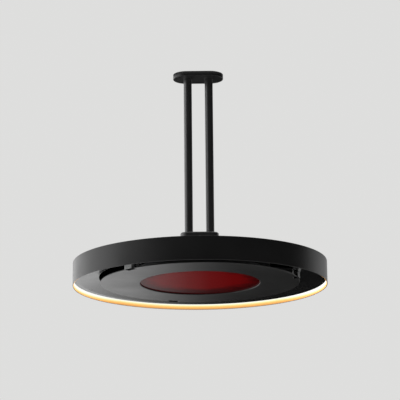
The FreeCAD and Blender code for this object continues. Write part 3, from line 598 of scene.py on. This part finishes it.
ringPlate = {"hole": 365.0, "flat": 437.8, "outer": 455.8, "low": -782.0, "top": -780.0, "rise": 12.0,
             "edge": 0.6, "bend": 30.0, "segments": 288}
lightBand = {"inner": 456.3, "outer": 457.8, "low": -801.0, "lipInner": 445.8, "lipLow": -780.0,
             "lipTop": -778.0, "segments": 288}
panel = {"radius": 360.0, "window": 217.0, "low": -791.0, "sheet": 3.0, "edge": 1.4, "edgeSteps": 5,
         "lip": 0.3, "lugAngle": 106.5, "lugs": 3, "notchFace": 342.0, "notchLow": -17.0, "notchHigh": 23.0,
         "lugHalf": 15.0, "lugHeight": 26.0, "lugReach": 16.0, "segments": 288}


def makeRingPlate():
    p = ringPlate
    outline = [(p["hole"], p["low"] + p["rise"]), (p["flat"], p["low"]), (p["outer"], p["low"]),
               (p["outer"], p["top"]), (p["flat"], p["top"]), (p["hole"], p["top"] + p["rise"])]
    radii = [p["edge"], p["bend"], p["edge"], p["edge"], p["bend"], p["edge"]]
    return lathePiece("ringPlate", roundCorners(outline, radii), p["segments"])


def makeLightBand():
    b = lightBand
    outline = [(b["inner"], b["low"]), (b["outer"], b["low"]), (b["outer"], b["lipTop"]),
               (b["lipInner"], b["lipTop"]), (b["lipInner"], b["lipLow"]), (b["inner"], b["lipLow"])]
    return lathePiece("lightBand", roundCorners(outline, 0.3, 2), b["segments"])


def panelOutline():
    p = panel
    points = []
    notches = [math.radians(p["lugAngle"] + k * 360 / p["lugs"]) for k in range(p["lugs"])]
    step = 2 * math.pi / p["segments"]
    lowTurn = math.asin(p["notchLow"] / p["radius"])
    highTurn = math.asin(p["notchHigh"] / p["radius"])
    for notch in notches:
        c, s = math.cos(notch), math.sin(notch)
        for along, across in ((math.sqrt(p["radius"] ** 2 - p["notchLow"] ** 2), p["notchLow"]),
                              (p["notchFace"], p["notchLow"]), (p["notchFace"], p["notchHigh"]),
                              (math.sqrt(p["radius"] ** 2 - p["notchHigh"] ** 2), p["notchHigh"])):
            points.append((along * c - across * s, along * s + across * c))
        start = notch + highTurn
        end = notch + 2 * math.pi / p["lugs"] + lowTurn
        count = int((end - start) / step)
        for k in range(1, count):
            turn = start + (end - start) * k / count
            points.append((p["radius"] * math.cos(turn), p["radius"] * math.sin(turn)))
    return points


def bendInto(bm, angle):
    # one lug: a strip bent up from the notch and out again over its hook
    p = panel
    face, sheet = p["notchFace"], p["sheet"]
    low = p["low"] + p["lip"]
    top = p["low"] + p["sheet"] + p["lugHeight"]
    path = [(face - sheet, low), (face, low), (face, top), (face + p["lugReach"], top),
            (face + p["lugReach"], top + sheet), (face - sheet, top + sheet)]
    section = roundCorners(path, [0, 0, 1.2, 0.4, 0.4, 3.2], 4)
    c, s = math.cos(math.radians(angle)), math.sin(math.radians(angle))
    sides = []
    for across in (-p["lugHalf"], p["lugHalf"]):
        sides.append([bm.verts.new(((r * c - across * s) * mm, (r * s + across * c) * mm, z * mm))
                      for r, z in section])
    bridge(bm, *sides)
    for side in sides:
        bmesh.ops.triangle_fill(bm, use_beauty=True, use_dissolve=False, edges=loopEdges(bm, side))


def makePanel():
    p = panel
    bm = bmesh.new()
    outer = panelOutline()
    inner = [(p["window"] * math.cos(2 * math.pi * k / p["segments"]),
              p["window"] * math.sin(2 * math.pi * k / p["segments"])) for k in range(p["segments"])]
    e, steps, lip = p["edge"], p["edgeSteps"], p["lip"]
    heights = [(p["low"], e * rounding["support"])]
    for k in range(steps + 1):
        turn = math.radians(90 * k / steps)
        heights.append((p["low"] + e * (1 - math.cos(turn)), e * (1 - math.sin(turn))))
    heights += [(p["low"] + p["sheet"] - lip, 0.0), (p["low"] + p["sheet"], lip)]
    rims = []
    for points, sign in ((outer, 1), (inner, -1)):
        count = len(points)
        normals = []
        for i in range(count):
            a, b = Vector(points[i - 1]), Vector(points[(i + 1) % count])
            here = Vector(points[i])
            n = Vector((0, 0))
            for d in (here - a, b - here):
                n += Vector((d.y, -d.x)).normalized()
            n.normalize()
            corner = max(0.5, n.dot(Vector(((b - here).y, -(b - here).x)).normalized()))
            normals.append(n / corner)
        loops = []
        for z, inset in heights:
            shift = sign * inset
            loops.append([bm.verts.new(((q[0] - n.x * shift) * mm, (q[1] - n.y * shift) * mm, z * mm))
                          for q, n in zip(points, normals)])
        for lower, upper in zip(loops, loops[1:]):
            bridge(bm, lower, upper)
        rims.append((loops[0], loops[-1]))
    for loops in zip(*rims):
        edges = [edge for loop in loops for edge in loopEdges(bm, loop)]
        bmesh.ops.triangle_fill(bm, use_beauty=True, use_dissolve=False, edges=edges)
    for k in range(p["lugs"]):
        bendInto(bm, p["lugAngle"] + k * 360 / p["lugs"])
    return finishMesh("heaterPanel", bm)


def makeHooks():
    # the hooks as built, with painted shade: a dull dark coat on the sides that look at the heater or down
    source = nodes["panel_hooks"]
    bm = bmesh.new()
    bm.from_mesh(source.data)
    bm.transform(source.matrix_world)
    hooks = finishMesh("panelHooks", bm)
    dress(hooks, "zinc_steel", "frame", "panel_hooks")
    paintShadeOnSides(hooks, lambda face: looksInward(face) or looksDown(face))


dress(makeRingPlate(), "black_coat", "frame", "ring_plate", finish=smoothCoat)
bandPiece = makeLightBand()
dress(bandPiece, "light_guide", "frame", "light_guide_ring")
# the band glows by itself and throws no light on the plate beside it
bandPiece.visible_glossy = False
bandPiece.visible_diffuse = False
dress(makePanel(), "black_coat", "cassette", "heater_panel")
makeHooks()
print("underside built")


# window pane and the bright dish behind it

window = {"radius": 229.0, "low": -787.0, "top": -783.0, "edge": 0.8, "segments": 256}
dish = {"inner": 224.0, "sheet": 1.2, "flangeOuter": 249.5, "flangeLow": -782.7, "ceiling": -759.5,
        "bend": 7.0, "segments": 256}


def makeWindow():
    w = window
    outline = [(0.0, w["low"]), (w["radius"], w["low"]), (w["radius"], w["top"]), (0.0, w["top"])]
    return lathePiece("windowPane", roundCorners(outline, [0, w["edge"], w["edge"], 0]), w["segments"])


def makeDish():
    d = dish
    s = d["sheet"]
    outline = [(0.0, d["ceiling"]), (d["inner"], d["ceiling"]), (d["inner"], d["flangeLow"]),
               (d["flangeOuter"], d["flangeLow"]), (d["flangeOuter"], d["flangeLow"] + s),
               (d["inner"] + s, d["flangeLow"] + s), (d["inner"] + s, d["ceiling"] + s),
               (0.0, d["ceiling"] + s)]
    radii = [0, d["bend"], 0.4, 0.3, 0.3, 0.4, d["bend"] + s, 0]
    return lathePiece("reflectorDish", roundCorners(outline, radii, 6), d["segments"])


dress(makeWindow(), "window_glass", "cassette", "window_glass")
dress(makeDish(), "reflector", "cassette", "reflector_dish")
print("window and dish built")


# geometry node trees

def newTree(name, inputs):
    tree = bpy.data.node_groups.new(name, "GeometryNodeTree")
    tree.interface.new_socket("Geometry", in_out="OUTPUT", socket_type="NodeSocketGeometry")
    sockets = {}
    for label, kind, value in inputs:
        socket = tree.interface.new_socket(label, in_out="INPUT", socket_type=kind)
        if kind != "NodeSocketMaterial":
            socket.default_value = value
        sockets[label] = (socket.identifier, value)
    start = tree.nodes.new("NodeGroupInput")
    end = tree.nodes.new("NodeGroupOutput")
    return tree, start, end, sockets


def closeTree(tree, start, end, geometry):
    real = tree.nodes.new("GeometryNodeRealizeInstances")
    paint = tree.nodes.new("GeometryNodeSetMaterial")
    tree.links.new(geometry, real.inputs["Geometry"])
    tree.links.new(real.outputs["Geometry"], paint.inputs["Geometry"])
    tree.links.new(start.outputs["Finish"], paint.inputs["Material"])
    tree.links.new(paint.outputs["Geometry"], end.inputs["Geometry"])


def bakeTree(name, tree, sockets):
    carrier = addObject(name + "Carrier", bpy.data.meshes.new(name + "Carrier"))
    modifier = carrier.modifiers.new("build", "NODES")
    modifier.node_group = tree
    for identifier, value in sockets.values():
        modifier[identifier] = value
    deps = bpy.context.evaluated_depsgraph_get()
    deps.update()
    mesh = bpy.data.meshes.new_from_object(carrier.evaluated_get(deps), preserve_all_data_layers=True,
                                           depsgraph=deps)
    carrier.modifiers.remove(modifier)
    bpy.data.objects.remove(carrier)
    mesh.name = name
    return addObject(name, mesh)


# spiral heating element: half turns about two centres, with a leg up at each end

element = {"tube": 4.25, "pitch": 18.0, "start": 45.0, "halfTurns": 18, "level": -773.0, "bend": 12.0,
           "handle": 0.5523, "legTop": -734.0, "samples": 40, "bendSteps": 10, "sides": 14}


def legRuns(tree, x, side):
    # one upright leg and the bend that leads from it into the spiral
    e = element
    out = side * e["bend"]
    handle = e["bend"] * e["handle"]
    corner = (x, out, e["level"] + e["bend"])
    leg = tree.nodes.new("GeometryNodeCurvePrimitiveLine")
    leg.inputs["Start"].default_value = Vector((x, out, e["legTop"])) * mm
    leg.inputs["End"].default_value = Vector(corner) * mm
    bend = tree.nodes.new("GeometryNodeCurvePrimitiveBezierSegment")
    bend.inputs["Resolution"].default_value = e["bendSteps"]
    points = {"Start": corner, "Start Handle": (x, out, corner[2] - handle),
              "End Handle": (x, side * handle, e["level"]), "End": (x, 0.0, e["level"])}
    for label, point in points.items():
        bend.inputs[label].default_value = Vector(point) * mm
    return [leg.outputs["Curve"], bend.outputs["Curve"]]


def makeElement():
    e = element
    tree, start, end, sockets = newTree("spiralElement", [
        ("TubeRadius", "NodeSocketFloat", e["tube"] * mm),
        ("HalfPitch", "NodeSocketFloat", e["pitch"] / 2 * mm),
        ("StartRadius", "NodeSocketFloat", e["start"] * mm),
        ("HalfTurns", "NodeSocketInt", e["halfTurns"]),
        ("Samples", "NodeSocketInt", e["samples"]),
        ("Level", "NodeSocketFloat", e["level"] * mm),
        ("Sides", "NodeSocketInt", e["sides"]),
        ("Finish", "NodeSocketMaterial", finishes["element_sheath"])])
    link = tree.links.new
    steps = mathNode(tree, "MULTIPLY", start.outputs["HalfTurns"], start.outputs["Samples"])
    count = mathNode(tree, "ADD", steps, 1)
    line = tree.nodes.new("GeometryNodeMeshLine")
    link(count, line.inputs["Count"])
    curve = tree.nodes.new("GeometryNodeMeshToCurve")
    link(line.outputs["Mesh"], curve.inputs["Mesh"])
    index = tree.nodes.new("GeometryNodeInputIndex").outputs["Index"]
    walked = mathNode(tree, "DIVIDE", index, start.outputs["Samples"])
    last = mathNode(tree, "SUBTRACT", start.outputs["HalfTurns"], 1)
    half = mathNode(tree, "MINIMUM", mathNode(tree, "FLOOR", walked), last)
    odd = mathNode(tree, "MODULO", half, 2)
    radius = mathNode(tree, "MULTIPLY_ADD", half, start.outputs["HalfPitch"], start.outputs["StartRadius"])
    centre = mathNode(tree, "MULTIPLY", odd, start.outputs["HalfPitch"])
    turn = mathNode(tree, "MULTIPLY", walked, math.pi)
    x = mathNode(tree, "MULTIPLY_ADD", mathNode(tree, "COSINE", turn), radius, centre)
    y = mathNode(tree, "MULTIPLY", mathNode(tree, "SINE", turn), radius)
    place = tree.nodes.new("GeometryNodeSetPosition")
    link(curve.outputs["Curve"], place.inputs["Geometry"])
    link(placeOf(tree, x, y, start.outputs["Level"]), place.inputs["Position"])
    paths = [place.outputs["Geometry"]]
    lastX = e["start"] + (e["halfTurns"] - 1) * e["pitch"] / 2 + (0 if e["halfTurns"] % 2 else e["pitch"] / 2)
    for px, side in ((e["start"], -1), (lastX, 1)):
        paths += legRuns(tree, px, side)
    gather = tree.nodes.new("GeometryNodeJoinGeometry")
    for path in reversed(paths):
        link(path, gather.inputs["Geometry"])
    circle = tree.nodes.new("GeometryNodeCurvePrimitiveCircle")
    link(start.outputs["Sides"], circle.inputs["Resolution"])
    link(start.outputs["TubeRadius"], circle.inputs["Radius"])
    sweep = tree.nodes.new("GeometryNodeCurveToMesh")
    link(gather.outputs["Geometry"], sweep.inputs["Curve"])
    link(circle.outputs["Curve"], sweep.inputs["Profile Curve"])
    sweep.inputs["Fill Caps"].default_value = True
    smooth = tree.nodes.new("GeometryNodeSetShadeSmooth")
    link(sweep.outputs["Mesh"], smooth.inputs["Geometry"])
    closeTree(tree, start, end, smooth.outputs["Geometry"])
    return bakeTree("heatingElement", tree, sockets)


spiral = makeElement()
dress(spiral, "element_sheath", "cassette", "heating_element")
print("element built,", len(spiral.data.polygons), "faces")


# things set in a ring: one shape, repeated by a tree

topScrews = {"head": 3.8, "height": 2.2, "shank": 2.0, "length": 6.0, "drive": 1.6, "sides": 24,
             "sharpAngle": 40, "count": 12, "radius": 449.0, "level": drum["top"]}
chips = {"length": 3.5, "width": 2.8, "height": 0.9, "wall": 0.63, "bevel": 0.25, "count": 120,
         "radius": 451.8, "level": -778.0}


def makeTopScrew():
    # pan head with a round recess, drawn about the origin with its seat at zero
    s = topScrews
    head, height, shank, drive, tip = s["head"], s["height"], s["shank"], s["drive"], -s["length"]
    outline = [(0.0, height * 0.45), (drive * 0.98, height * 0.45), (drive, height * 0.97),
               (drive + 0.25, height), (head * 0.72, height * 0.94), (head * 0.93, height * 0.62),
               (head, height * 0.25), (head, 0.0), (shank, 0.0), (shank, tip + 0.6), (shank - 0.5, tip),
               (0.0, tip)]
    bm = bmesh.new()
    latheInto(bm, outline, s["sides"])
    return finishMesh("topScrew", bm, s["sharpAngle"])


def makeLightChip():
    bm = bmesh.new()
    rows = []
    for inset, z in ((0.0, 0.0), (0.0, chips["wall"]), (chips["bevel"], chips["height"])):
        a, b = chips["width"] / 2 - inset, chips["length"] / 2 - inset
        rows.append([bm.verts.new((x * mm, y * mm, z * mm)) for x, y in ((-a, -b), (a, -b), (a, b), (-a, b))])
    for lower, upper in zip(rows, rows[1:]):
        bridge(bm, lower, upper)
    bm.faces.new(rows[0][::-1])
    bm.faces.new(rows[-1])
    return finishMesh("lightChip", bm)


def ringOf(name, shape, ring, finish):
    tree, start, end, sockets = newTree(name + "Ring", [
        ("Shape", "NodeSocketObject", shape), ("Count", "NodeSocketInt", ring["count"]),
        ("Radius", "NodeSocketFloat", ring["radius"] * mm), ("Level", "NodeSocketFloat", ring["level"] * mm),
        ("Finish", "NodeSocketMaterial", finish)])
    link = tree.links.new
    source = tree.nodes.new("GeometryNodeObjectInfo")
    link(start.outputs["Shape"], source.inputs["Object"])
    points = tree.nodes.new("GeometryNodePoints")
    link(start.outputs["Count"], points.inputs["Count"])
    index = tree.nodes.new("GeometryNodeInputIndex").outputs["Index"]
    share = mathNode(tree, "DIVIDE", index, start.outputs["Count"])
    turn = mathNode(tree, "MULTIPLY", share, 2 * math.pi)
    x, y = [mathNode(tree, "MULTIPLY", mathNode(tree, wave, turn), start.outputs["Radius"])
            for wave in ("COSINE", "SINE")]
    link(placeOf(tree, x, y, start.outputs["Level"]), points.inputs["Position"])
    rotation = tree.nodes.new("FunctionNodeEulerToRotation")
    link(placeOf(tree, z=turn), rotation.inputs["Euler"])
    place = tree.nodes.new("GeometryNodeInstanceOnPoints")
    link(points.outputs["Points"], place.inputs["Points"])
    link(source.outputs["Geometry"], place.inputs["Instance"])
    link(rotation.outputs["Rotation"], place.inputs["Rotation"])
    closeTree(tree, start, end, place.outputs["Instances"])
    made = bakeTree(name, tree, sockets)
    bpy.data.objects.remove(shape)
    return made


screwRing = ringOf("topScrews", makeTopScrew(), topScrews, finishes["zinc_steel"])
dress(screwRing, "zinc_steel", "frame", "top_screws")
chipRing = ringOf("lightChips", makeLightChip(), chips, finishes["led_chip"])
dress(chipRing, "led_chip", "frame", "led_chips")
print("screws and chips set")


# the remaining CAD nodes keep their shape and get their finish

for subpart in frame["record"]["subparts"]:
    mesh = nodes[subpart["node"]].data
    mesh.materials.clear()
    mesh.materials.append(finishes[subpart["material_slot"]])
print("nodes finished")


# floor, light and camera

studio = {"floorLevel": -3.2, "floorRadius": 3.2, "floorSides": 96, "floorLift": 0.5,
          "backdrop": 0.72, "tint": (1.0, 1.0, 0.99, 1), "dimFront": 0.06, "dimBack": 0.012}
# where the backdrop begins and where it is full, as parts of a direction
reaches = {"behind": (0.72, 0.92), "above": (0.03, 0.12), "aside": (0.45, 0.2), "sideways": (0.2, 0.34),
           "below": (-0.03, -0.15), "overhead": (0.55, 0.75), "dim": (-0.6, 0.7)}
# grey levels of the low lamp along its fade
fadeLevels = ((0.0, 1.0), (0.22, 0.71), (0.4, 0.39), (0.55, 0.15), (0.68, 0.044), (0.82, 0.009), (1.0, 0.001))
lamps = [
    {"name": "leftBox", "place": (-3.4, 0.7, -0.3), "target": (0, 0, -0.5), "size": (3.6, 3.8),
     "radiance": 1.5},
    {"name": "leftBackBox", "place": (-2.4, 3.0, 0.2), "target": (0, 0, -0.7), "size": (2.0, 2.4),
     "radiance": 1.3},
    {"name": "leftHighBox", "place": (-3.3, -1.4, 1.0), "target": (0, 0, -0.3), "size": (1.9, 1.5),
     "radiance": 1.4},
    {"name": "leftFrontBox", "place": (-3.0, -2.4, -0.3), "target": (0, 0, -0.6), "size": (2.4, 2.4),
     "radiance": 0.27},
    {"name": "lowBackBox", "place": (-1.02, 1.5, -1.42), "target": (-1.02, 0, -1.42), "size": (2.68, 1.04),
     "radiance": 1.43, "fade": (-0.468, 0.284)},
    {"name": "topBox", "place": (0, 0.3, 2.6), "target": (0, 0, 0), "size": (3.4, 3.4), "radiance": 0.6},
    {"name": "rightBackBox", "place": (3.0, 1.9, -0.3), "target": (0, 0, -0.6), "size": (1.9, 1.6),
     "radiance": 0.7},
]
photoCamera = {"lens": 160.2, "sensor": 36.0, "place": (0.00266, -6.3188, -2.0692), "lift": 14.118,
               "roll": -0.567}


def seenRays(tree):
    # what the camera, shine and glass see, as against what lights the object
    path = tree.nodes.new("ShaderNodeLightPath")
    mirrored = mathNode(tree, "MAXIMUM", path.outputs["Is Glossy Ray"], path.outputs["Is Transmission Ray"])
    return mathNode(tree, "MAXIMUM", path.outputs["Is Camera Ray"], mirrored)


def makeFloor():
    bm = bmesh.new()
    bmesh.ops.create_circle(bm, cap_ends=True, segments=studio["floorSides"], radius=studio["floorRadius"],
                            matrix=Matrix.Translation((0, 0, studio["floorLevel"])))
    floor = finishMesh("floor", bm)
    if floor.data.polygons[0].normal.z < 0:
        floor.data.flip_normals()
    pale = grainedFinish("paleFloor", (0.5, 0.5, 0.49), (0.54, 0.54, 0.53), 0.8, 0.9, 200.0, 2.0, 0.05)
    tree = pale.node_tree
    shader = tree.nodes["Principled BSDF"]
    tree.links.new(mathNode(tree, "MULTIPLY", seenRays(tree), studio["floorLift"]),
                   shader.inputs["Emission Strength"])
    shader.inputs["Emission Color"].default_value = studio["tint"]
    # from underneath, the floor lets the view through
    mixed = tree.nodes.new("ShaderNodeMixShader")
    tree.links.new(tree.nodes.new("ShaderNodeNewGeometry").outputs["Backfacing"], mixed.inputs["Fac"])
    tree.links.new(shader.outputs["BSDF"], mixed.inputs[1])
    tree.links.new(tree.nodes.new("ShaderNodeBsdfTransparent").outputs["BSDF"], mixed.inputs[2])
    tree.links.new(mixed.outputs["Shader"], tree.nodes["Material Output"].inputs["Surface"])
    floor.data.materials.append(pale)


def makeWorld():
    # pale backdrop behind the object, low down all round and overhead; dim between them and straight
    # below the backdrop, which is what the undersides mirror
    world = bpy.data.worlds.new("studio")
    bpy.context.scene.world = world
    world.use_nodes = True
    tree = world.node_tree
    tree.nodes.clear()
    x, y, z = axesOf(tree, tree.nodes.new("ShaderNodeTexCoord").outputs["Generated"])
    behind = rangeOf(tree, y, 0.0, 1.0, *reaches["behind"])
    above = rangeOf(tree, z, 0.0, 1.0, *reaches["above"])
    aside = rangeOf(tree, y, 0.0, 1.0, *reaches["aside"])
    sideways = rangeOf(tree, mathNode(tree, "ABSOLUTE", x), 0.0, 1.0, *reaches["sideways"])
    below = rangeOf(tree, z, 0.0, 1.0, *reaches["below"])
    overhead = rangeOf(tree, z, 0.0, 1.0, *reaches["overhead"])
    wall = mathNode(tree, "MULTIPLY", behind, above)
    low = mathNode(tree, "MULTIPLY", mathNode(tree, "MAXIMUM", aside, sideways), below)
    pale = mathNode(tree, "MAXIMUM", wall, mathNode(tree, "MAXIMUM", low, overhead))
    share = mathNode(tree, "MULTIPLY", seenRays(tree), pale)
    dim = rangeOf(tree, y, studio["dimFront"], studio["dimBack"], *reaches["dim"])
    level = mathNode(tree, "ADD", mathNode(tree, "MULTIPLY", share, studio["backdrop"]), dim)
    glow = tree.nodes.new("ShaderNodeBackground")
    glow.inputs["Color"].default_value = studio["tint"]
    tree.links.new(level, glow.inputs["Strength"])
    out = tree.nodes.new("ShaderNodeOutputWorld")
    tree.links.new(glow.outputs["Background"], out.inputs["Surface"])


def softBox(name, place, target, size, radiance, fade=None):
    # rectangular lamp; with a fade, its light falls off along x between two places
    light = bpy.data.lights.new(name, "AREA")
    light.shape = "RECTANGLE"
    light.size, light.size_y = size
    light.energy = radiance * math.pi * size[0] * size[1]
    lamp = addObject(name, light)
    lamp.location = place
    lamp.rotation_euler = (Vector(target) - Vector(place)).to_track_quat("-Z", "Y").to_euler()
    lamp.visible_camera = False
    if fade:
        light.use_nodes = True
        tree = light.node_tree
        spot = axesOf(tree, tree.nodes.new("ShaderNodeNewGeometry").outputs["Position"])
        along = rangeOf(tree, spot["X"], 0.0, 1.0, *fade)
        greys = [(share, (level, level, level)) for share, level in fadeLevels]
        tree.links.new(rampOf(tree, along, greys), tree.nodes["Emission"].inputs["Color"])


def makeCamera():
    data = bpy.data.cameras.new("photoCamera")
    data.lens = photoCamera["lens"]
    data.sensor_width = photoCamera["sensor"]
    camera = addObject("photoCamera", data)
    camera.location = photoCamera["place"]
    lift = Matrix.Rotation(math.radians(90 + photoCamera["lift"]), 4, "X")
    roll = Matrix.Rotation(math.radians(photoCamera["roll"]), 4, "Z")
    camera.rotation_euler = (lift @ roll).to_euler()
    bpy.context.scene.camera = camera


makeFloor()
makeWorld()
for lamp in lamps:
    softBox(**lamp)
makeCamera()
bpy.context.scene.view_settings.view_transform = "Standard"
print("studio ready")
